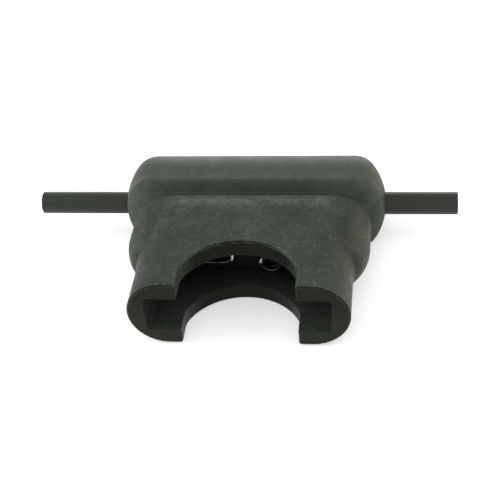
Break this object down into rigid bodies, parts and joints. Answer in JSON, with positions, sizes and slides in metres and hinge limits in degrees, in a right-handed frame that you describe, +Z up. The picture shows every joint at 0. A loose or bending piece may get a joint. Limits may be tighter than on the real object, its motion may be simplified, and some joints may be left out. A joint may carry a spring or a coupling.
{
  "type": "inline fuse holder",
  "caption": "Moulded rubber inline holder for a flat blade fuse, with an open pocket, a finger cut-out, and a wire lead leaving each end of its round cross bar.",
  "frame": {"origin": "on the flat underside, straight below the middle of the leads' common line", "axes": "+X along the leads, +Y from the fuse mouth to the cross bar, +Z up out of the flat underside"},
  "size_m": [0.0494, 0.0248, 0.0098],
  "materials": {
    "body_rubber": "satin moulded rubber with light dust",
    "tinned_brass": "stamped sheet, dull tinned",
    "wire_insulation": "satin extruded insulation",
    "copper_strand": "bare drawn copper"
  },
  "bodies": {
    "root": {"rubber_body": "body_rubber", "left_terminal": "tinned_brass", "right_terminal": "tinned_brass", "left_insulation": "wire_insulation", "right_insulation": "wire_insulation", "left_conductor": "copper_strand", "right_conductor": "copper_strand"}
  },
  "joints": []
}
